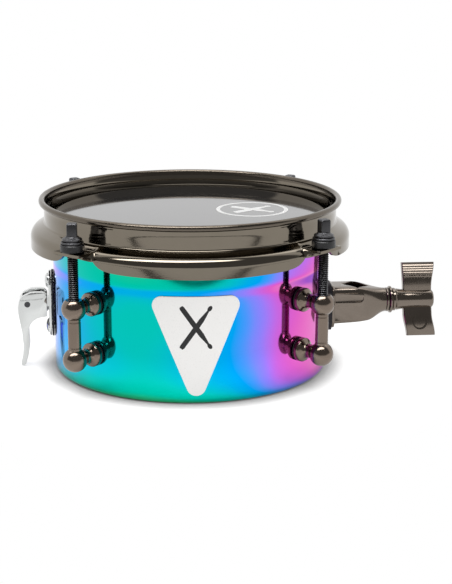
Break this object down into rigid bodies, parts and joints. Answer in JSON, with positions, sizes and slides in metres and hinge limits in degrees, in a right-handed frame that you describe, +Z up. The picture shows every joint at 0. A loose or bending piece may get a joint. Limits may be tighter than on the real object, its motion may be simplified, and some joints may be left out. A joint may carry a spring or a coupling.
{
  "type": "micro snare drum",
  "caption": "Six inch micro snare drum with one head, tube lugs, a lever throw-off that drops the snare wires and a clamp bracket for a mounting rod",
  "frame": {"origin": "Middle of the bounding box, on the floor under the shell's rim", "axes": "+Z up along the drum's axis, +X towards the bracket and its wing nut, -Y towards the badge"},
  "size_m": [0.235, 0.1756, 0.0956],
  "materials": {
    "rainbow_shell": "mirror-bright rainbow plating, teal through blue to magenta",
    "black_nickel": "polished black nickel plating",
    "cast_nickel": "smooth black nickel plated zinc casting",
    "chrome": "bright chrome plating",
    "zinc_steel": "zinc plated steel sheet and screws",
    "snare_steel": "drawn bare steel wire",
    "black_steel": "black oxide steel, satin",
    "black_rubber": "matte black rubber",
    "black_nylon": "satin black nylon",
    "black_film": "glossy black film",
    "aluminium": "plain aluminium channel",
    "white_vinyl": "white printed vinyl"
  },
  "bodies": {
    "drum": {"shell": "rainbow_shell", "hoop": "black_nickel", "drumhead": "black_film", "flesh_hoop": "aluminium", "badge": "white_vinyl", "nylon_washer_back_right": "black_nylon", "steel_washer_back_right": "black_steel", "lug_back_right": "black_nickel", "lug_gasket_upper_back_right": "black_rubber", "lug_screw_upper_back_right": "zinc_steel", "lug_gasket_lower_back_right": "black_rubber", "lug_screw_lower_back_right": "zinc_steel", "nylon_washer_back_left": "black_nylon", "steel_washer_back_left": "black_steel", "lug_back_left": "black_nickel", "lug_gasket_upper_back_left": "black_rubber", "lug_screw_upper_back_left": "zinc_steel", "lug_gasket_lower_back_left": "black_rubber", "lug_screw_lower_back_left": "zinc_steel", "nylon_washer_front_left": "black_nylon", "steel_washer_front_left": "black_steel", "lug_front_left": "black_nickel", "lug_gasket_upper_front_left": "black_rubber", "lug_screw_upper_front_left": "zinc_steel", "lug_gasket_lower_front_left": "black_rubber", "lug_screw_lower_front_left": "zinc_steel", "nylon_washer_front_right": "black_nylon", "steel_washer_front_right": "black_steel", "lug_front_right": "black_nickel", "lug_gasket_upper_front_right": "black_rubber", "lug_screw_upper_front_right": "zinc_steel", "lug_gasket_lower_front_right": "black_rubber", "lug_screw_lower_front_right": "zinc_steel", "throwoff_base": "chrome", "throwoff_gasket": "black_rubber", "throwoff_pin": "black_steel", "throwoff_nut_plate": "black_steel", "throwoff_screw_upper": "chrome", "throwoff_screw_lower": "chrome", "bracket_body": "cast_nickel", "bracket_gasket": "black_rubber", "bracket_sleeve": "cast_nickel", "lock_washer": "cast_nickel", "bracket_screw_upper": "zinc_steel", "bracket_screw_lower": "zinc_steel", "snare_back_plate": "zinc_steel", "snare_hinge_pin": "black_steel", "snare_spring": "black_steel"},
    "lever": {"throwoff_lever": "chrome"},
    "bridge": {"snare_bridge": "zinc_steel", "snare_wires": "snare_steel"},
    "stop_screw": {"snare_stop_screw": "zinc_steel"},
    "eye_bolt": {"eye_bolt": "cast_nickel"},
    "wing_nut": {"wing_nut": "cast_nickel"},
    "rod_back_right": {"tension_rod_back_right": "black_steel"},
    "rod_back_left": {"tension_rod_back_left": "black_steel"},
    "rod_front_left": {"tension_rod_front_left": "black_steel"},
    "rod_front_right": {"tension_rod_front_right": "black_steel"}
  },
  "joints": [
    {"name": "throwoff_lever_swing", "type": "hinge", "parent": "drum", "child": "lever", "pos_m": [-0.1124, 0, 0.0365], "axis": [0, 1, 0], "range_deg": [0, 80]},
    {"name": "snare_bridge_drop", "type": "hinge", "parent": "drum", "child": "bridge", "pos_m": [0.0467, 0, 0.066], "axis": [0, 1, 0], "range_deg": [-2.2, 0]},
    {"name": "snare_stop_screw_turn", "type": "hinge", "parent": "bridge", "child": "stop_screw", "pos_m": [0.0281, 0, 0.08], "axis": [1, 0, 0], "continuous": true},
    {"name": "wing_nut_turn", "type": "hinge", "parent": "drum", "child": "wing_nut", "pos_m": [0.105, 0, 0.0334], "axis": [1, 0, 0], "range_deg": [0, 1260]},
    {"name": "eye_bolt_slide", "type": "slide", "parent": "drum", "child": "eye_bolt", "axis": [1, 0, 0], "range_m": [-0.0036, 0]},
    {"name": "tension_rod_back_right_turn", "type": "hinge", "parent": "drum", "child": "rod_back_right", "pos_m": [0.0426, 0.0642, 0.07], "axis": [0, 0, 1], "continuous": true},
    {"name": "tension_rod_back_left_turn", "type": "hinge", "parent": "drum", "child": "rod_back_left", "pos_m": [-0.08581, 0.0642, 0.07], "axis": [0, 0, 1], "continuous": true},
    {"name": "tension_rod_front_left_turn", "type": "hinge", "parent": "drum", "child": "rod_front_left", "pos_m": [-0.08581, -0.0642, 0.07], "axis": [0, 0, 1], "continuous": true},
    {"name": "tension_rod_front_right_turn", "type": "hinge", "parent": "drum", "child": "rod_front_right", "pos_m": [0.0426, -0.0642, 0.07], "axis": [0, 0, 1], "continuous": true}
  ],
  "couplings": [
    {"joint": "snare_bridge_drop", "follows": "throwoff_lever_swing", "ratio": -0.0242},
    {"joint": "eye_bolt_slide", "follows": "wing_nut_turn", "m_per_rad": -0.00015915}
  ]
}
